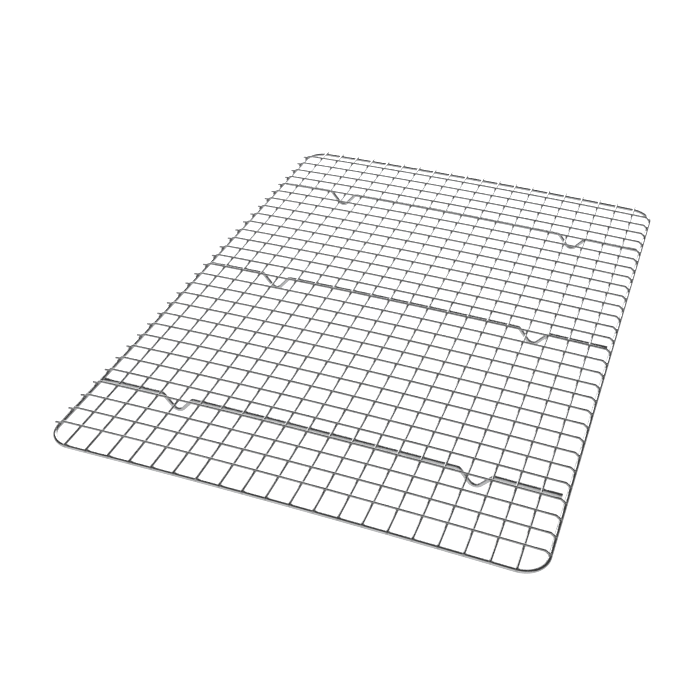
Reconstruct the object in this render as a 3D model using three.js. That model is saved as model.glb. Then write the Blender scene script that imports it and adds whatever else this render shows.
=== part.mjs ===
// Half-sheet wire cooling rack: a rim of thick wire, a deck of thin wires welded in two
// layers, and three support wires whose V bends are the six feet.
// Millimetres, +Z up, +Y along the rack's length towards its rear. The origin is on the
// surface that the rack stands on, under the middle of its outline.

import * as THREE from 'three';
import { mergeVertices } from 'three/addons/utils/BufferGeometryUtils.js';

// ---- driving dimensions ---------------------------------------------------------------------
const RACK_WIDTH = 292; // over the rim, along X
const RACK_LENGTH = 419; // over the rim, along Y
const RACK_HEIGHT = 16; // from the feet to the crest of the deck
const THICK_WIRE = 2.5; // diameter of the rim and of the support wires
const THIN_WIRE = 1.5; // diameter of the deck's wires
const CELL = 13.77; // pitch of the deck's wires, both ways
const LONG_WIRES = 20; // wires along Y
const CROSS_WIRES = 29; // wires along X
const RIM_BEND = 15; // centre-line radius of the rim's corners
const DECK_CROWN = 2; // rise of the arch that the deck makes across its width
const WELD_GAP = 0.05; // clearance between wires that are welded where they cross

const CREST_REACH = 0.5; // half the stretch over which a wire lies level on the rim
const TIP_DROP = 0.45; // how far a tip that reaches past the rim is bent down
const LONG_TIP = 2.4; // how far a long wire reaches past the rim's centre line
const CROSS_TIP_LEFT = 2.6; // the same for a cross wire on the left
const CROSS_TIP_RIGHT = 0.7; // and on the right, where it ends on top of the rim
const HOOK_RUN = 4; // stretch over which a cross wire comes down onto the rim

const OUTER_SUPPORT = 10.5 * CELL; // from the middle of the length to an outer support wire
const MIDDLE_SUPPORT = 0.5 * CELL; // the middle one lies half a cell towards the rear
const SUPPORT_GAP_LEFT = 0.4; // between a support wire's left end and the rim
const SUPPORT_GAP_RIGHT = 1.6; // the same on the right
const FOOT_OFFSET = 93; // from the middle of the rack's width to the middle of a foot
const LEG_ANGLE = THREE.MathUtils.degToRad(50); // slope of a foot's two legs
const TOE_BEND = 4.5; // centre-line radius at the bottom of a foot
const HIP_BEND = 3; // centre-line radius where a leg leaves the bar

// ---- how finely the round shapes are faceted --------------------------------------------------
const THICK_SIDES = 12;
const THIN_SIDES = 8;
const CORNER_STEPS = 9; // chords in a corner of the rim
const TOE_STEPS = 7; // an odd number, so that a foot stands on a level chord
const HIP_STEPS = 3;
const HOOK_STEPS = 3;
const CROWN_CHORD = 3 * CELL; // length of the chords that follow the arch

// ---- sizes worked out from the driving dimensions ---------------------------------------------
const HALF_WIDTH = (RACK_WIDTH - THICK_WIRE) / 2; // of the rim's centre line
const HALF_LENGTH = (RACK_LENGTH - THICK_WIRE) / 2;
const ON_RIM = THICK_WIRE / 2 + WELD_GAP + THIN_WIRE / 2; // a thin wire's height over the rim's
const ON_DECK = ON_RIM + WELD_GAP + THIN_WIRE; // the same for a wire that lies on the long wires
const RIM_HEIGHT = RACK_HEIGHT - THIN_WIRE / 2 - ON_DECK - crown(0); // centre line, at the sides
const TOE_TURN = LEG_ANGLE / TOE_STEPS; // between a toe's level chord and its end planes
const TOE_HEIGHT = (THICK_WIRE / 2) * Math.cos(TOE_TURN); // of the level chord's centre line
const FOOT_DEPTH = RIM_HEIGHT + crown(FOOT_OFFSET) - TOE_HEIGHT; // from the bar down

// ---- the arch of the deck -----------------------------------------------------------------------

// Height of the arch at x. It runs in chords, the middle one level, and every layer of wires
// follows the same chords, so that wires lying on each other keep their distance.
function crown(x) {
  const reach = Math.min(Math.abs(x), HALF_WIDTH);
  const inner = (Math.floor(reach / CROWN_CHORD + 0.5) - 0.5) * CROWN_CHORD;
  const outer = Math.min(inner + CROWN_CHORD, HALF_WIDTH);
  const arch = (station) => DECK_CROWN * (1 - (station / HALF_WIDTH) ** 2);
  return THREE.MathUtils.mapLinear(reach, inner, outer, arch(inner), arch(outer));
}

// The places between two x values, in rising order, where one chord meets the next.
function crownStations(from, to) {
  const stations = [];
  const first = Math.ceil(from / CROWN_CHORD + 0.5);
  for (let x = (first - 0.5) * CROWN_CHORD; x < to; x += CROWN_CHORD) stations.push(x);
  return stations;
}

// A point whose height over the rim's level also follows the arch.
function archedPoint(x, y, height) {
  return new THREE.Vector3(x, y, RIM_HEIGHT + crown(x) + height);
}

// ---- wire ---------------------------------------------------------------------------------------

// A wire's centre line through the given points, straight between neighbouring ones.
class WirePath extends THREE.Curve {
  constructor(points, closed) {
    super();
    this.points = closed ? [...points, points[0]] : points;
    this.closed = closed;
  }

  getSpacedPoints() {
    return this.points;
  }

  // Unit vector along the stretch that starts at a point. A closed path goes round, and on
  // an open one the ends take the direction of the stretch that they belong to.
  stretch(index) {
    const stretches = this.points.length - 1;
    const clamped = THREE.MathUtils.clamp(index, 0, stretches - 1);
    const start = this.closed ? (index + stretches) % stretches : clamped;
    return this.points[start + 1].clone().sub(this.points[start]).normalize();
  }

  // Frames that keep one flat side of the wire facing up all the way along.
  computeFrenetFrames() {
    const frames = { tangents: [], normals: [], binormals: [] };
    this.points.forEach((point, index) => {
      const tangent = this.stretch(index - 1).add(this.stretch(index)).normalize();
      const normal = new THREE.Vector3(0, 0, 1).projectOnPlane(tangent).normalize();
      frames.tangents.push(tangent);
      frames.normals.push(normal);
      frames.binormals.push(tangent.clone().cross(normal));
    });
    return frames;
  }
}

// A regular outline with a flat side on top, and the given width across its flats.
function wireSection(diameter, sides) {
  const cornerRadius = diameter / 2 / Math.cos(Math.PI / sides);
  const corners = [];
  for (let side = 0; side < sides; side += 1) {
    const turn = ((2 * side + 1) * Math.PI) / sides;
    corners.push(new THREE.Vector2(Math.cos(turn), Math.sin(turn)).multiplyScalar(cornerRadius));
  }
  return new THREE.Shape(corners);
}

// The sides of an extruded loop. The loop runs into itself, so it has no end faces.
function sidesOnly(extrusion) {
  const wall = extrusion.groups.find((group) => group.materialIndex === 1);
  const corners = extrusion.getAttribute('position').array;
  const kept = corners.slice(3 * wall.start, 3 * (wall.start + wall.count));
  return new THREE.BufferGeometry().setAttribute('position', new THREE.BufferAttribute(kept, 3));
}

// One named piece of wire along the points.
function wire(name, points, diameter, sides, closed = false) {
  const path = new WirePath(points, closed);
  const options = { steps: path.points.length - 1, extrudePath: path };
  const extrusion = new THREE.ExtrudeGeometry(wireSection(diameter, sides), options);
  extrusion.deleteAttribute('normal');
  extrusion.deleteAttribute('uv');
  const geometry = mergeVertices(closed ? sidesOnly(extrusion) : extrusion);
  geometry.computeVertexNormals();
  const steel = new THREE.MeshStandardMaterial({ color: 0xc4c7c9, roughness: 0.2, metalness: 1 });
  const mesh = new THREE.Mesh(geometry, steel);
  mesh.name = name;
  return mesh;
}

function thickWire(name, points, closed) {
  return wire(name, points, THICK_WIRE, THICK_SIDES, closed);
}

function thinWire(name, points) {
  return wire(name, points, THIN_WIRE, THIN_SIDES);
}

// ---- the rim ------------------------------------------------------------------------------------

// One wire bent round four corners and butt welded into a loop. Its front and rear sides
// follow the arch.
function rimWire() {
  const [cornerX, cornerY] = [HALF_WIDTH - RIM_BEND, HALF_LENGTH - RIM_BEND];
  const corner = (x, y, quarter) => {
    const [start, end] = [(quarter * Math.PI) / 2, ((quarter + 1) * Math.PI) / 2];
    const arc = new THREE.EllipseCurve(x, y, RIM_BEND, RIM_BEND, start, end);
    return arc.getPoints(CORNER_STEPS).map((point) => archedPoint(point.x, point.y, 0));
  };
  const along = crownStations(-cornerX, cornerX);
  const front = along.map((x) => archedPoint(x, -HALF_LENGTH, 0));
  const rear = along.map((x) => archedPoint(x, HALF_LENGTH, 0)).reverse();
  const points = [
    ...corner(cornerX, cornerY, 0),
    ...rear,
    ...corner(-cornerX, cornerY, 1),
    ...corner(-cornerX, -cornerY, 2),
    ...front,
    ...corner(cornerX, -cornerY, 3),
  ];
  return thickWire('rim_wire', points, true);
}

// ---- the deck -----------------------------------------------------------------------------------

// A straight wire along Y that lies on the front and rear of the rim, its tips bent down.
function longWire(name, x) {
  const crest = HALF_LENGTH + CREST_REACH;
  const tip = HALF_LENGTH + LONG_TIP;
  return thinWire(name, [
    archedPoint(x, -tip, ON_RIM - TIP_DROP),
    archedPoint(x, -crest, ON_RIM),
    archedPoint(x, crest, ON_RIM),
    archedPoint(x, tip, ON_RIM - TIP_DROP),
  ]);
}

// The S bend that takes a cross wire from the rim up onto the long wires. side is -1 on
// the left and 1 on the right; the points run from the rim inwards.
function hookPoints(side, y) {
  const points = [];
  for (let step = 0; step <= HOOK_STEPS; step += 1) {
    const along = step / HOOK_STEPS;
    const height = THREE.MathUtils.lerp(ON_RIM, ON_DECK, THREE.MathUtils.smoothstep(along, 0, 1));
    const inwards = HALF_WIDTH - CREST_REACH - along * HOOK_RUN;
    points.push(archedPoint(side * inwards, y, height));
  }
  return points;
}

// A wire along X that lies on the long wires and comes down onto the rim at both ends. It
// reaches past the rim on the left and stops on top of it on the right.
function crossWire(name, y) {
  const hookEnd = HALF_WIDTH - CREST_REACH - HOOK_RUN;
  return thinWire(name, [
    archedPoint(-HALF_WIDTH - CROSS_TIP_LEFT, y, ON_RIM - TIP_DROP),
    archedPoint(-HALF_WIDTH - CREST_REACH, y, ON_RIM),
    ...hookPoints(-1, y),
    ...crownStations(-hookEnd, hookEnd).map((x) => archedPoint(x, y, ON_DECK)),
    ...hookPoints(1, y).reverse(),
    archedPoint(HALF_WIDTH + CROSS_TIP_RIGHT, y, ON_RIM),
  ]);
}

// ---- the support wires --------------------------------------------------------------------------

// A foot: the bar bends down into a leg, round the toe, and up again. The bends at the
// bar follow the arch, and the toe stays level.
function footPoints(middleX, y) {
  const toeCentre = TOE_BEND * Math.cos(TOE_TURN) - FOOT_DEPTH;
  const legDrop = (HIP_BEND + TOE_BEND) * Math.cos(LEG_ANGLE) - HIP_BEND - toeCentre;
  const hipX = (HIP_BEND + TOE_BEND) * Math.sin(LEG_ANGLE) + legDrop / Math.tan(LEG_ANGLE);
  const quarter = Math.PI / 2;
  const hip = (side) => {
    const [start, end] = side < 0 ? [quarter, quarter - LEG_ANGLE] : [quarter + LEG_ANGLE, quarter];
    const centreX = middleX + side * hipX;
    const arc = new THREE.EllipseCurve(centreX, -HIP_BEND, HIP_BEND, HIP_BEND, start, end, true);
    return arc.getPoints(HIP_STEPS).map((point) => archedPoint(point.x, y, point.y));
  };
  const [start, end] = [-quarter - LEG_ANGLE, -quarter + LEG_ANGLE];
  const toe = new THREE.EllipseCurve(middleX, toeCentre, TOE_BEND, TOE_BEND, start, end);
  const lift = RIM_HEIGHT + crown(middleX);
  return [
    ...hip(-1),
    ...toe.getPoints(TOE_STEPS).map((point) => new THREE.Vector3(point.x, y, lift + point.y)),
    ...hip(1),
  ];
}

// A bar under the long wires, level with the rim and just short of it, with two feet.
function supportWire(name, y) {
  const rimInside = HALF_WIDTH - THICK_WIRE / 2;
  const leftFoot = footPoints(-FOOT_OFFSET, y);
  const rightFoot = footPoints(FOOT_OFFSET, y);
  const between = crownStations(leftFoot.at(-1).x, rightFoot.at(0).x);
  return thickWire(name, [
    archedPoint(SUPPORT_GAP_LEFT - rimInside, y, 0),
    ...leftFoot,
    ...between.map((x) => archedPoint(x, y, 0)),
    ...rightFoot,
    archedPoint(rimInside - SUPPORT_GAP_RIGHT, y, 0),
  ]);
}

// ---- the rack -----------------------------------------------------------------------------------

function numbered(stem, index) {
  return `${stem}_${String(index + 1).padStart(2, '0')}`;
}

const rack = new THREE.Group();
rack.add(rimWire());
for (let index = 0; index < LONG_WIRES; index += 1) {
  rack.add(longWire(numbered('long_wire', index), (index - (LONG_WIRES - 1) / 2) * CELL));
}
for (let index = 0; index < CROSS_WIRES; index += 1) {
  rack.add(crossWire(numbered('cross_wire', index), ((CROSS_WIRES - 1) / 2 - index) * CELL));
}
rack.add(supportWire('support_wire_rear', OUTER_SUPPORT));
rack.add(supportWire('support_wire_middle', MIDDLE_SUPPORT));
rack.add(supportWire('support_wire_front', -OUTER_SUPPORT));

// The cross wires reach out on the left only, so the rack shifts to stand over the origin.
const outline = new THREE.Box3().setFromObject(rack, true);
rack.position.x = -outline.getCenter(new THREE.Vector3()).x;

export default rack;
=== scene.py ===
"""Looks of a half-sheet wire cooling rack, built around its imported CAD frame.

Every CAD wire is replaced by a round wire with the welds, bends, drooping tips and sheared
ends of a real one. Lengths are in metres, and MM turns millimetres into metres.
"""

import math

import bpy
import numpy as np
from mathutils import Matrix, Vector


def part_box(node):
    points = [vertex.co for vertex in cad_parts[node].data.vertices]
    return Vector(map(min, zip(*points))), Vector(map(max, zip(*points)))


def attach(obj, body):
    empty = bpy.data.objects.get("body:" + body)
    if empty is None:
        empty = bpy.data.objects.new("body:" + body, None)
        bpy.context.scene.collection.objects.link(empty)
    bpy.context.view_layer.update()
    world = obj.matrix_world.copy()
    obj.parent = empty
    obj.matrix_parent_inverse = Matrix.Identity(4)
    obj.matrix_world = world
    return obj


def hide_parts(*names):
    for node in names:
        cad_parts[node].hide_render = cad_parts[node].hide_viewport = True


MM = 0.001
BODY = "root"

# ---- driving values: the view ------------------------------------------------------------------
VIEW_AZIMUTH = math.radians(18.99)  # from the rack's front towards its right
VIEW_ELEVATION = math.radians(35.24)
VIEW_ROLL = math.radians(1.75)
VIEW_DISTANCE = 0.7019
VIEW_AIM = Vector((-0.01115, -0.063, 0.0133))
LENS_MM = 56.35
SENSOR_MM = 36.0

# ---- driving values: bends ----------------------------------------------------------------------
CREST_REACH = 0.5 * MM  # half the stretch over which a wire lies level on the rim
HOOK_RUN = 2.7 * MM  # stretch over which a cross wire comes down, shorter than on the CAD wire
RIM_BEND = 15.0 * MM  # centre-line radius of the rim's corners
FOOT_OFFSET = 93.0 * MM  # from the middle of the rim to the middle of a foot
LEG_ANGLE = math.radians(50)
TOE_BEND = 4.5 * MM
HIP_BEND = 3.0 * MM

# ---- driving values: welds and cut ends ----------------------------------------------------------
WELD_SWELL = 0.18 * MM  # how far a wire swells towards the one it is welded to
WELD_REACH = 0.6 * MM  # half width of the swelling
WELD_SPREAD = 0.25  # how much one weld's swelling differs from another's
WELD_STEPS = np.array([-1.8, -1.1, -0.6, -0.2, 0.2, 0.6, 1.1, 1.8]) * MM
SEAM_SWELL = 0.1 * MM  # the ridge round the rim where its ends are butt welded
SEAM_REACH = 0.7 * MM
END_ROUND = 0.14 * MM  # rounding of a cut end's edge
END_TILT = math.radians(12)  # most that a cut face leans

# ---- driving values: tips that reach past the rim ------------------------------------------------
REAR_CUT = 0.8 * MM  # how much shorter the rear tips are than on the CAD wires
TIP_CURVE = 1.5  # power of the distance with which a tip bends down

# ---- driving values: unevenness ------------------------------------------------------------------
SEED = 20
SWAY = 0.12 * MM  # size of the waves in which a wire strays sideways, and of its lean
LEAST_WAVE = 0.3  # share of SWAY that a wave has at the least
QUICK_WAVE = 0.4  # size of the quick wave, as a share of the slow one's
QUICK_TURNS = 3  # and how many of them a wire has
SHORT_TIP = 0.3 * MM  # how much a cut may shorten a tip at random

# ---- driving values: fineness --------------------------------------------------------------------
THIN_SIDES = 12
THICK_SIDES = 20
HOOK_STEPS = 8
CORNER_STEPS = 18
TOE_STEPS = 18
HIP_STEPS = 8
TIP_STEPS = 3
LEAST_STEP = 0.12 * MM

# ---- driving values: steel -----------------------------------------------------------------------
FRAME_LIGHT = (0.6, 0.605, 0.615, 1)
FRAME_DARK = (0.54, 0.545, 0.55, 1)  # in the clouds of its plating
# The deck's wires are the frame's steel painted darker: painted shade for how dim the thin wires
# look.
DECK_LIGHT = (0.46, 0.465, 0.47, 1)
DECK_DARK = (0.4, 0.405, 0.41, 1)
WELD_TINT = (0.26, 0.245, 0.23, 1)
CUT_TINT = (0.2, 0.2, 0.205, 1)
TINT_SHARE = 0.3  # how far a weld or a cut end takes its tint
ROUGH_WHERE_JOINED = 0.12  # roughness that a weld or a cut end adds
ROUGH_LINES = 0.04  # and that the draw lines add
LINE_SCALE = (7000, 7000, 40)  # noise cells to the metre: across, across and along the wire
CLOUD_SCALE = (260, 260, 90)
PIT_SCALE = (3200, 3200, 3200)
LINE_DEPTH = 0.004 * MM
SPLASH_DEPTH = 0.05 * MM

# ---- driving values: studio ----------------------------------------------------------------------
FLOOR_SIZE = 12.0
FLOOR_SEEN = (0.93, 0.93, 0.93, 1)
FLOOR_LIFT = 0.97  # glow that keeps the floor white in the picture
FLOOR_GLOW = 0.75  # and glow of the lit floor in the wires' reflections
FLOOR_IN_WIRES = (0.22, 0.22, 0.23, 1)
SKY_IN_WIRES = 0.07
WHITE = (1, 1, 1, 1)

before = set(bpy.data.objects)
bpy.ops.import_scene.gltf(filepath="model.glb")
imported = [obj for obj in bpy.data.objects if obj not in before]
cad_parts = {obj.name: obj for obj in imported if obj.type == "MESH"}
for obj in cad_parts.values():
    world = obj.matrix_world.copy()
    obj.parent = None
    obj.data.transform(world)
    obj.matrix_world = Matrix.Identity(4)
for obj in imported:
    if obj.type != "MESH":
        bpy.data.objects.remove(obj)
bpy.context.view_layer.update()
random = np.random.default_rng(SEED)


# ---- sizes read from the frame ------------------------------------------------------------------


def nodes_named(stem):
    return sorted(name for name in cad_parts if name.startswith(stem))


def middle(node):
    low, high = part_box(node)
    return (low + high) / 2


LONG_WIRES = nodes_named("long_wire_")
CROSS_WIRES = nodes_named("cross_wire_")
SUPPORT_WIRES = nodes_named("support_wire_")
LONG_X = [middle(node).x for node in LONG_WIRES]
CROSS_Y = [middle(node).y for node in CROSS_WIRES]
SUPPORT_Y = [middle(node).y for node in SUPPORT_WIRES]

rim_low, rim_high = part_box("rim_wire")
crest_low, crest_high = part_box(LONG_WIRES[len(LONG_WIRES) // 2])
cross_low, cross_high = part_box(CROSS_WIRES[0])
support_low, support_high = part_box(SUPPORT_WIRES[0])

THICK = (support_high.y - support_low.y) / 2  # radius of the rim and of the support wires
THIN = (cross_high.y - cross_low.y) / 2  # radius of the deck's wires
MIDDLE_X = (rim_low.x + rim_high.x) / 2
HALF_WIDTH = (rim_high.x - rim_low.x) / 2 - THICK  # of the rim's centre line
HALF_LENGTH = (rim_high.y - rim_low.y) / 2 - THICK
RIM_Z = rim_low.z + THICK
CROWN = rim_high.z - THICK - RIM_Z  # rise of the deck's arch
ON_RIM = crest_high.z - THIN - RIM_Z - CROWN  # height of a wire that lies on the rim
ON_DECK = cross_high.z - THIN - RIM_Z - CROWN  # and of one that lies on the long wires
TIP_DROP = crest_high.z - crest_low.z - 2 * THIN


def crown(x):
    """Height of the deck's arch over the rim's level, across its width."""
    return CROWN * (1 - np.clip((x - MIDDLE_X) / HALF_WIDTH, -1, 1) ** 2)


def smooth_step(share):
    share = np.clip(share, 0, 1)
    return share * share * (3 - 2 * share)


# ---- swept wire ---------------------------------------------------------------------------------


def steps_around(low, high, crossings, extra=()):
    """Places from low to high in rising order, close together around every crossing."""
    around = [crossing + WELD_STEPS for crossing in crossings]
    places = np.unique(np.concatenate([np.asarray(extra, float), *around]))
    inside = places[(places > low + LEAST_STEP) & (places < high - LEAST_STEP)]
    kept = inside[np.concatenate([[True], np.diff(inside) > LEAST_STEP])]
    return np.concatenate([[low], kept, [high]])


def sway(length):
    """A slow sideways wander along a wire, given as a function of the distance along it."""
    phase = random.uniform(0, 2 * math.pi, 2)
    depth = random.uniform(LEAST_WAVE, 1.0, 2) * SWAY
    lean = random.uniform(-1, 1) * SWAY

    def offset(along):
        turn = 2 * math.pi * along / length
        slow = depth[0] * np.sin(turn + phase[0])
        quick = QUICK_WAVE * depth[1] * np.sin(QUICK_TURNS * turn + phase[1])
        return slow + quick + lean * (2 * along / length - 1)

    return offset


def unit(rows):
    return rows / np.linalg.norm(rows, axis=1, keepdims=True)


def frames_along(points, closed):
    """Unit vectors along a wire, sideways and upwards at each of its points."""
    if closed:
        ahead = np.roll(points, -1, axis=0) - points
        behind = np.roll(ahead, 1, axis=0)
    else:
        ahead = np.diff(points, axis=0)
        behind = np.vstack([ahead[:1], ahead])
        ahead = np.vstack([ahead, ahead[-1:]])
    tangent = unit(unit(ahead) + unit(behind))
    side = unit(np.cross(tangent, (0.0, 0.0, 1.0)))
    return tangent, side, np.cross(side, tangent)


def swelling(points, turns, welds):
    """How far the wire swells at each point and turn, and how near each point is to a weld.

    A weld is a point on the wire's centre line and the turn that faces the other wire.
    """
    swell = np.zeros((len(points), len(turns)))
    nearness = np.zeros(len(points))
    for place, facing in welds:
        distance = np.linalg.norm(points - place, axis=1)
        fade = np.exp(-((distance / WELD_REACH) ** 2))
        lobe = np.clip(np.cos(turns - facing), 0, 1) ** 2
        depth = WELD_SWELL * (1 + WELD_SPREAD * random.uniform(-1, 1))
        swell += depth * fade[:, None] * lobe[None, :]
        nearness = np.maximum(nearness, fade)
    return swell, nearness


def ring_faces(rings, sides, closed):
    """Quads between neighbouring rings of points."""
    last = rings if closed else rings - 1
    ring, corner = np.meshgrid(np.arange(last), np.arange(sides), indexing="ij")
    this, following = ring * sides, (ring + 1) % rings * sides
    after = (corner + 1) % sides
    quads = np.stack([this + corner, this + after, following + after, following + corner], axis=-1)
    return quads.reshape(-1, 4).tolist()


def cap_faces(first, sides, tip, outwards):
    """A fan of triangles that closes the ring starting at vertex first with the vertex tip."""
    fan = []
    for corner in range(sides):
        edge = (first + corner, first + (corner + 1) % sides)
        fan.append((tip, edge[1], edge[0]) if outwards else (tip, edge[0], edge[1]))
    return fan


def sweep(node, points, radius, sides, welds=(), closed=False, seam=None):
    """The round wire that stands for a CAD node, along the given centre line."""
    points = np.asarray(points, float)
    turns = 2 * math.pi * np.arange(sides) / sides
    tangent, side, up = frames_along(points, closed)
    swell, nearness = swelling(points, turns, welds)
    if seam is not None:
        fade = np.exp(-((np.linalg.norm(points - seam, axis=1) / SEAM_REACH) ** 2))
        swell += SEAM_SWELL * fade[:, None]
        nearness = np.maximum(nearness, fade)
    reach = radius + swell
    gaps = np.linalg.norm(np.diff(points, axis=0), axis=1)
    along = np.concatenate([[0.0], np.cumsum(gaps)])

    if not closed:
        points, tangent, side, up = (rounded_ends(rows) for rows in (points, tangent, side, up))
        reach, nearness, along = (rounded_ends(rows) for rows in (reach, nearness, along))
        reach[0] -= END_ROUND
        reach[-1] -= END_ROUND
        points[1] += tangent[1] * END_ROUND
        points[-2] -= tangent[-2] * END_ROUND
    cosine, sine = np.cos(turns), np.sin(turns)
    across = side[:, None, :] * cosine[None, :, None] + up[:, None, :] * sine[None, :, None]
    rings = points[:, None, :] + across * reach[:, :, None]
    start = random.uniform(0, 1)
    round_x, round_y = radius * cosine[None, :], radius * sine[None, :]
    space = np.stack(np.broadcast_arrays(round_x, round_y, start + along[:, None]), axis=-1)

    if not closed:
        lean_ends(rings, points, tangent, up)
    vertices = rings.reshape(-1, 3)
    space = space.reshape(-1, 3)
    nearness = np.repeat(nearness, sides)
    cut = np.zeros(len(vertices))
    faces = ring_faces(len(points), sides, closed)
    if not closed:
        count = len(vertices)
        faces += cap_faces(0, sides, count, True)
        faces += cap_faces(count - sides, sides, count + 1, False)
        tips = np.stack([rings[0].mean(axis=0), rings[-1].mean(axis=0)])
        vertices = np.vstack([vertices, tips])
        space = np.vstack([space, [(0, 0, start), (0, 0, start + along[-1])]])
        nearness = np.concatenate([nearness, [0, 0]])
        cut[:sides] = 1
        cut[-sides:] = 1
        cut = np.concatenate([cut, [1, 1]])
    return wire_object(node, vertices, faces, space, nearness, cut)


def rounded_ends(rows):
    """The same rows with the first and the last one doubled, for the rounding of a cut end."""
    return np.concatenate([rows[:1], rows, rows[-1:]]).copy()


def lean_ends(rings, points, tangent, up):
    """Tilts the cut faces, always into the wire, so that no tip grows longer."""
    for end, rows in ((0, (0, 1)), (-1, (-1, -2))):
        lean = math.tan(END_TILT * random.uniform(-1, 1))
        inwards = tangent[end] if end == 0 else -tangent[end]
        for row in rows:
            height = (rings[row] - points[row]) @ up[end]
            slide = lean * height + abs(lean) * np.abs(height).max()
            rings[row] += inwards * slide[:, None]


def wire_object(node, vertices, faces, space, nearness, cut):
    """The visible wire, with what its material reads stored at each vertex."""
    mesh = bpy.data.meshes.new(node + "_round")
    mesh.from_pydata(vertices.tolist(), [], faces)
    mesh.polygons.foreach_set("use_smooth", [True] * len(mesh.polygons))
    wire_space = mesh.attributes.new("wire_space", "FLOAT_VECTOR", "POINT")
    wire_space.data.foreach_set("vector", space.astype(np.float32).ravel())
    for name, values in (("weld", nearness), ("cut", cut)):
        attribute = mesh.attributes.new(name, "FLOAT", "POINT")
        attribute.data.foreach_set("value", values.astype(np.float32))
    mesh.update()
    wire = bpy.data.objects.new(node + "_round", mesh)
    bpy.context.scene.collection.objects.link(wire)
    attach(wire, BODY)
    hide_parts(node)
    return wire


# ---- the rim ------------------------------------------------------------------------------------

UP = math.pi / 2
DOWN = -math.pi / 2


def rim_line():
    """The rim's centre line, anticlockwise from the start of its right side."""
    edge_x, edge_y = HALF_WIDTH - RIM_BEND, HALF_LENGTH - RIM_BEND
    up_side = steps_around(-edge_y, edge_y, CROSS_Y)
    seam_steps = MIDDLE_X + WELD_STEPS
    across = steps_around(MIDDLE_X - edge_x, MIDDLE_X + edge_x, LONG_X, seam_steps)
    places = []

    def corner(x, y, quarter):
        for step in range(1, CORNER_STEPS):
            turn = (quarter + step / CORNER_STEPS) * math.pi / 2
            places.append((x + RIM_BEND * math.cos(turn), y + RIM_BEND * math.sin(turn)))

    places += [(MIDDLE_X + HALF_WIDTH, y) for y in up_side]
    corner(MIDDLE_X + edge_x, edge_y, 0)
    places += [(x, HALF_LENGTH) for x in across[::-1]]
    corner(MIDDLE_X - edge_x, edge_y, 1)
    places += [(MIDDLE_X - HALF_WIDTH, y) for y in up_side[::-1]]
    corner(MIDDLE_X - edge_x, -edge_y, 2)
    places += [(x, -HALF_LENGTH) for x in across]
    corner(MIDDLE_X + edge_x, -edge_y, 3)
    places = np.array(places)
    return np.column_stack([places, RIM_Z + crown(places[:, 0])])


def rim_wire():
    welds = []
    for x in LONG_X:
        for y in (-HALF_LENGTH, HALF_LENGTH):
            welds.append((np.array((x, y, RIM_Z + crown(x))), UP))
    for y in CROSS_Y:
        for x in (MIDDLE_X - HALF_WIDTH, MIDDLE_X + HALF_WIDTH):
            welds.append((np.array((x, y, RIM_Z)), UP))
    seam = np.array((MIDDLE_X, HALF_LENGTH, RIM_Z + CROWN))
    return sweep("rim_wire", rim_line(), THICK, THICK_SIDES, welds, closed=True, seam=seam)


# ---- the deck -----------------------------------------------------------------------------------


def tip_steps(edge, tip):
    """Places along the drooping tip that reaches past the rim."""
    return np.linspace(edge, tip, TIP_STEPS + 1)[1:-1]


def droop(reach, edge, tip):
    """How far a tip has bent down, at its distance from the middle."""
    return TIP_DROP * np.clip((reach - edge) / (tip - edge), 0, 1) ** TIP_CURVE


def tip_lean(edge, tip):
    """How far the upper edge of a drooping tip's cut face stands out past its middle."""
    return THIN * math.sin(math.atan(TIP_CURVE * TIP_DROP / (tip - edge)))


def over_foot(x):
    """True where a long wire runs over a foot, with no bar to be welded to."""
    return abs(abs(x - MIDDLE_X) - FOOT_OFFSET) < foot_half_width()


def long_wire(node, x):
    low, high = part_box(node)
    crest = HALF_LENGTH + CREST_REACH
    lean = tip_lean(crest, high.y)
    rear = high.y - lean - REAR_CUT - random.uniform(0, 1) * SHORT_TIP
    front = low.y + lean + random.uniform(0, 1) * SHORT_TIP
    bars = [] if over_foot(x) else SUPPORT_Y
    below = [-HALF_LENGTH, *bars, HALF_LENGTH]
    extra = np.concatenate([tip_steps(crest, rear), tip_steps(-crest, front)])
    y = steps_around(front, rear, [*below, *CROSS_Y], extra)
    level = RIM_Z + crown(x) + ON_RIM
    z = level - droop(np.abs(y), crest, high.y)
    wander = sway(rear - front)
    points = np.column_stack([x + wander(y - front), y, z])
    welds = [(np.array((x, place, level)), DOWN) for place in below]
    welds += [(np.array((x, place, level)), UP) for place in CROSS_Y]
    return sweep(node, points, THIN, THIN_SIDES, welds)


def cross_height(x):
    """A cross wire's height over the arch: on the rim, up the S bend, and along the deck."""
    reach = np.abs(x - MIDDLE_X)
    inwards = (HALF_WIDTH - CREST_REACH - reach) / HOOK_RUN
    return ON_RIM + (ON_DECK - ON_RIM) * smooth_step(inwards)


def cross_wire(node, y):
    low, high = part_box(node)
    crest = HALF_WIDTH + CREST_REACH
    lean = tip_lean(crest, MIDDLE_X - low.x)
    left = low.x + lean + random.uniform(0, 1) * SHORT_TIP
    right = high.x - random.uniform(0, 1) * SHORT_TIP
    hook = np.linspace(HALF_WIDTH - CREST_REACH - HOOK_RUN, HALF_WIDTH - CREST_REACH, HOOK_STEPS)
    extra = np.concatenate([MIDDLE_X + hook, MIDDLE_X - hook, tip_steps(MIDDLE_X - crest, left)])
    rims = [MIDDLE_X - HALF_WIDTH, MIDDLE_X + HALF_WIDTH]
    x = steps_around(left, right, [*rims, *LONG_X], extra)
    drop = droop(MIDDLE_X - x, crest, MIDDLE_X - low.x)
    z = RIM_Z + crown(x) + cross_height(x) - drop
    wander = sway(right - left)
    points = np.column_stack([x, y + wander(x - left), z])
    welds = [(np.array((place, y, RIM_Z + ON_RIM)), DOWN) for place in rims]
    welds += [(np.array((place, y, RIM_Z + crown(place) + ON_DECK)), DOWN) for place in LONG_X]
    return sweep(node, points, THIN, THIN_SIDES, welds)


# ---- the support wires --------------------------------------------------------------------------


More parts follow.
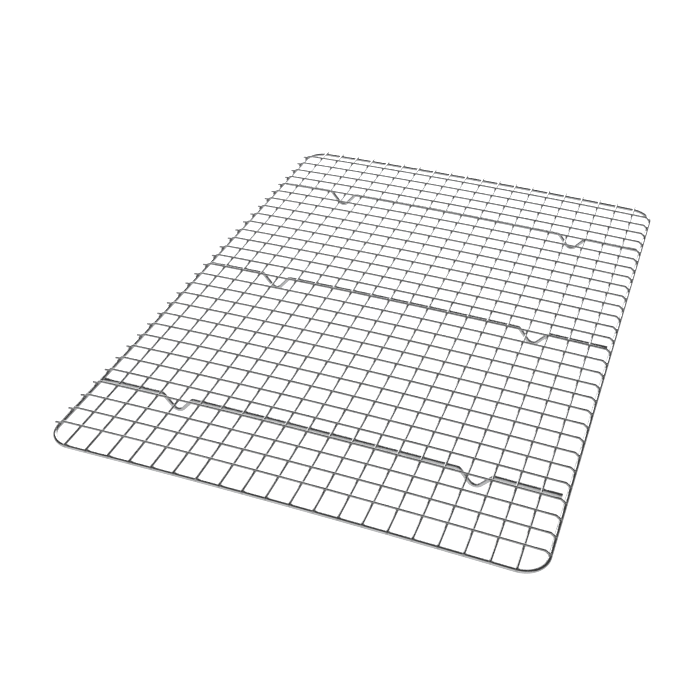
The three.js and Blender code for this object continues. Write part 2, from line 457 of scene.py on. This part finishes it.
def foot_half_width():
    """From the middle of a foot to the place where its hip leaves the bar."""
    bar = RIM_Z + crown(MIDDLE_X + FOOT_OFFSET)
    toe_centre = THICK + TOE_BEND
    rise = (bar - HIP_BEND) - toe_centre + (HIP_BEND + TOE_BEND) * math.cos(LEG_ANGLE)
    return (HIP_BEND + TOE_BEND) * math.sin(LEG_ANGLE) + rise / math.tan(LEG_ANGLE)


def foot_line(foot_x):
    """x and z from the bar down the left leg, round the toe, and up the right leg."""
    half = foot_half_width()
    line = []
    for step in range(HIP_STEPS + 1):
        turn = UP - LEG_ANGLE * step / HIP_STEPS
        x = foot_x - half + HIP_BEND * math.cos(turn)
        line.append((x, RIM_Z + crown(x) - HIP_BEND + HIP_BEND * math.sin(turn)))
    for step in range(TOE_STEPS + 1):
        turn = DOWN + LEG_ANGLE * (2 * step / TOE_STEPS - 1)
        height = THICK + TOE_BEND + TOE_BEND * math.sin(turn)
        line.append((foot_x + TOE_BEND * math.cos(turn), height))
    for step in range(HIP_STEPS, -1, -1):
        turn = UP + LEG_ANGLE * step / HIP_STEPS
        x = foot_x + half + HIP_BEND * math.cos(turn)
        line.append((x, RIM_Z + crown(x) - HIP_BEND + HIP_BEND * math.sin(turn)))
    return line


def support_wire(node, y):
    low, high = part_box(node)
    feet = [MIDDLE_X - FOOT_OFFSET, MIDDLE_X + FOOT_OFFSET]
    half = foot_half_width()
    welded = [x for x in LONG_X if not over_foot(x)]

    def bar(start, end):
        x = steps_around(start, end, [place for place in welded if start < place < end])
        return list(zip(x, RIM_Z + crown(x)))

    line = bar(low.x, feet[0] - half)[:-1] + foot_line(feet[0])
    line += bar(feet[0] + half, feet[1] - half)[1:-1] + foot_line(feet[1])
    line += bar(feet[1] + half, high.x)[1:]
    line = np.array(line)
    wander = sway(high.x - low.x)
    points = np.column_stack([line[:, 0], y + wander(line[:, 0] - low.x), line[:, 1]])
    welds = [(np.array((x, y, RIM_Z + crown(x))), UP) for x in welded]
    return sweep(node, points, THICK, THICK_SIDES, welds)


# ---- materials ----------------------------------------------------------------------------------


def add_node(tree, kind, inputs=None, **settings):
    """Adds a shader node, and links or sets its named inputs."""
    made = tree.nodes.new(kind)
    for key, value in settings.items():
        setattr(made, key, value)
    for socket, value in (inputs or {}).items():
        if isinstance(value, bpy.types.NodeSocket):
            tree.links.new(value, made.inputs[socket])
        else:
            made.inputs[socket].default_value = value
    return made


def attribute(tree, name, output):
    return add_node(tree, "ShaderNodeAttribute", attribute_name=name).outputs[output]


def noise(tree, vector, scale, detail):
    """Noise over the wire's own space, with scales per metre across and along the wire."""
    stretched = add_node(tree, "ShaderNodeMapping", {"Vector": vector, "Scale": scale})
    inputs = {"Vector": stretched.outputs["Vector"], "Scale": 1.0, "Detail": detail}
    return add_node(tree, "ShaderNodeTexNoise", inputs).outputs["Fac"]


def ramp(tree, value, low, high, to_low, to_high):
    """Takes low to to_low and high to to_high, in a straight line and no further."""
    inputs = {"Value": value, "From Min": low, "From Max": high, "To Min": to_low, "To Max": to_high}
    return add_node(tree, "ShaderNodeMapRange", inputs).outputs["Result"]


def blend(tree, factor, first, second):
    made = add_node(tree, "ShaderNodeMix", data_type="RGBA")
    for socket, value in ((0, factor), (6, first), (7, second)):
        if isinstance(value, bpy.types.NodeSocket):
            tree.links.new(value, made.inputs[socket])
        else:
            made.inputs[socket].default_value = value
    return made.outputs[2]


def maths(tree, operation, first, second):
    made = add_node(tree, "ShaderNodeMath", {0: first, 1: second}, operation=operation)
    return made.outputs[0]


def plated_wire(name, light, dark, smooth, rough):
    """Bright drawn steel: draw lines along it, clouded plating, and dull welds and cut ends.

    Its roughness runs from smooth in the light clouds to rough in the dark ones.
    """
    material = bpy.data.materials.new(name)
    material.use_nodes = True
    tree = material.node_tree
    shader = tree.nodes["Principled BSDF"]
    space = attribute(tree, "wire_space", "Vector")
    weld = attribute(tree, "weld", "Fac")
    cut = attribute(tree, "cut", "Fac")

    lines = noise(tree, space, LINE_SCALE, detail=4.0)
    clouds = noise(tree, space, CLOUD_SCALE, detail=4.0)
    pits = noise(tree, space, PIT_SCALE, detail=2.0)

    scaled_weld = maths(tree, "MULTIPLY", weld, ramp(tree, pits, 0.35, 0.65, 0.45, 1.0))
    tint = blend(tree, ramp(tree, clouds, 0.35, 0.65, 0.0, 1.0), light, dark)
    tint = blend(tree, ramp(tree, scaled_weld, 0.1, 1.0, 0.0, TINT_SHARE), tint, WELD_TINT)
    tint = blend(tree, ramp(tree, cut, 0.0, 1.0, 0.0, TINT_SHARE), tint, CUT_TINT)
    tree.links.new(tint, shader.inputs["Base Color"])

    dull = ramp(tree, clouds, 0.3, 0.7, smooth, rough)
    dull = maths(tree, "ADD", dull, ramp(tree, lines, 0.3, 0.7, 0.0, ROUGH_LINES))
    for place in (scaled_weld, cut):
        dull = maths(tree, "ADD", dull, ramp(tree, place, 0.0, 1.0, 0.0, ROUGH_WHERE_JOINED))
    tree.links.new(dull, shader.inputs["Roughness"])

    inputs = {"Strength": 0.3, "Distance": LINE_DEPTH, "Height": lines}
    drawn = add_node(tree, "ShaderNodeBump", inputs)
    rough_weld = maths(tree, "MULTIPLY", pits, weld)
    inputs = {"Strength": 0.6, "Distance": SPLASH_DEPTH, "Height": rough_weld}
    inputs["Normal"] = drawn.outputs["Normal"]
    splashed = add_node(tree, "ShaderNodeBump", inputs)
    tree.links.new(splashed.outputs["Normal"], shader.inputs["Normal"])

    shader.inputs["Metallic"].default_value = 1.0
    return material


def floor_material():
    """White to the camera, and a darker sheet with a glow of its own in the wires' reflections."""
    material = bpy.data.materials.new("studio_floor")
    material.use_nodes = True
    tree = material.node_tree
    shader = tree.nodes["Principled BSDF"]
    path = add_node(tree, "ShaderNodeLightPath")
    shade = blend(tree, path.outputs["Is Camera Ray"], FLOOR_IN_WIRES, FLOOR_SEEN)
    tree.links.new(shade, shader.inputs["Base Color"])
    shader.inputs["Roughness"].default_value = 0.9
    shader.inputs["Specular IOR Level"].default_value = 0.0
    shader.inputs["Emission Color"].default_value = WHITE
    lift = ramp(tree, path.outputs["Is Camera Ray"], 0.0, 1.0, FLOOR_GLOW, FLOOR_LIFT)
    tree.links.new(lift, shader.inputs["Emission Strength"])
    return material


# ---- studio -------------------------------------------------------------------------------------


def direction(azimuth, elevation):
    """Unit vector from the rack, azimuth from its front towards its right."""
    level = math.cos(elevation)
    return Vector((math.sin(azimuth) * level, -math.cos(azimuth) * level, math.sin(elevation)))


def studio_floor():
    half = FLOOR_SIZE / 2
    mesh = bpy.data.meshes.new("studio_floor")
    corners = [(-half, -half, 0), (half, -half, 0), (half, half, 0), (-half, half, 0)]
    mesh.from_pydata(corners, [], [(0, 1, 2, 3)])
    mesh.materials.append(floor_material())
    floor = bpy.data.objects.new("studio_floor", mesh)
    bpy.context.scene.collection.objects.link(floor)


def studio_sky():
    """A white surround to the camera, and a dim room in the wires' reflections."""
    world = bpy.data.worlds.new("studio")
    world.use_nodes = True
    tree = world.node_tree
    path = add_node(tree, "ShaderNodeLightPath")
    dim = (SKY_IN_WIRES, SKY_IN_WIRES, SKY_IN_WIRES, 1)
    shade = blend(tree, path.outputs["Is Camera Ray"], dim, WHITE)
    tree.links.new(shade, tree.nodes["Background"].inputs["Color"])
    bpy.context.scene.world = world


def softbox(name, azimuth, elevation, distance, width, height, watts):
    """A rectangular area light that faces the middle of the rack. Its angles are in degrees."""
    lamp = bpy.data.lights.new(name, "AREA")
    lamp.shape = "RECTANGLE"
    lamp.size = width
    lamp.size_y = height
    lamp.energy = watts
    box = bpy.data.objects.new(name, lamp)
    towards = direction(math.radians(azimuth), math.radians(elevation))
    box.location = towards * distance
    box.rotation_euler = towards.to_track_quat("Z", "Y").to_euler()
    box.visible_camera = False
    bpy.context.scene.collection.objects.link(box)


def camera():
    back = direction(VIEW_AZIMUTH, VIEW_ELEVATION)
    level = Vector((math.cos(VIEW_AZIMUTH), math.sin(VIEW_AZIMUTH), 0))
    right = level * math.cos(VIEW_ROLL) + back.cross(level) * math.sin(VIEW_ROLL)
    up = back.cross(right)
    data = bpy.data.cameras.new("camera")
    data.lens = LENS_MM
    data.sensor_width = SENSOR_MM
    eye = bpy.data.objects.new("camera", data)
    turn = Matrix((right, up, back)).transposed().to_4x4()
    eye.matrix_world = Matrix.Translation(VIEW_AIM + back * VIEW_DISTANCE) @ turn
    bpy.context.scene.collection.objects.link(eye)
    bpy.context.scene.camera = eye


# ---- the scene ----------------------------------------------------------------------------------

camera()
studio_floor()
studio_sky()
softbox("rear_softbox", azimuth=202, elevation=18, distance=1.5, width=1.6, height=1.0, watts=20)
softbox("front_card", azimuth=0, elevation=9, distance=0.5, width=1.2, height=0.16, watts=0.6)
bpy.context.scene.view_settings.view_transform = "Standard"

frame_steel = plated_wire("frame_steel", FRAME_LIGHT, FRAME_DARK, smooth=0.11, rough=0.18)
# the deck's steel is the frame's steel painted darker, as painted shade for the thin wires
deck_steel_painted_darker = plated_wire("deck_steel_painted_darker", DECK_LIGHT, DECK_DARK, smooth=0.11, rough=0.17)

made = [(rim_wire(), "frame_wire")]
made += [(long_wire(node, x), "deck_wire") for node, x in zip(LONG_WIRES, LONG_X)]
made += [(cross_wire(node, y), "deck_wire") for node, y in zip(CROSS_WIRES, CROSS_Y)]
made += [(support_wire(node, y), "frame_wire") for node, y in zip(SUPPORT_WIRES, SUPPORT_Y)]
for piece, slot in made:
    piece.data.materials.append(frame_steel if slot == "frame_wire" else deck_steel_painted_darker)
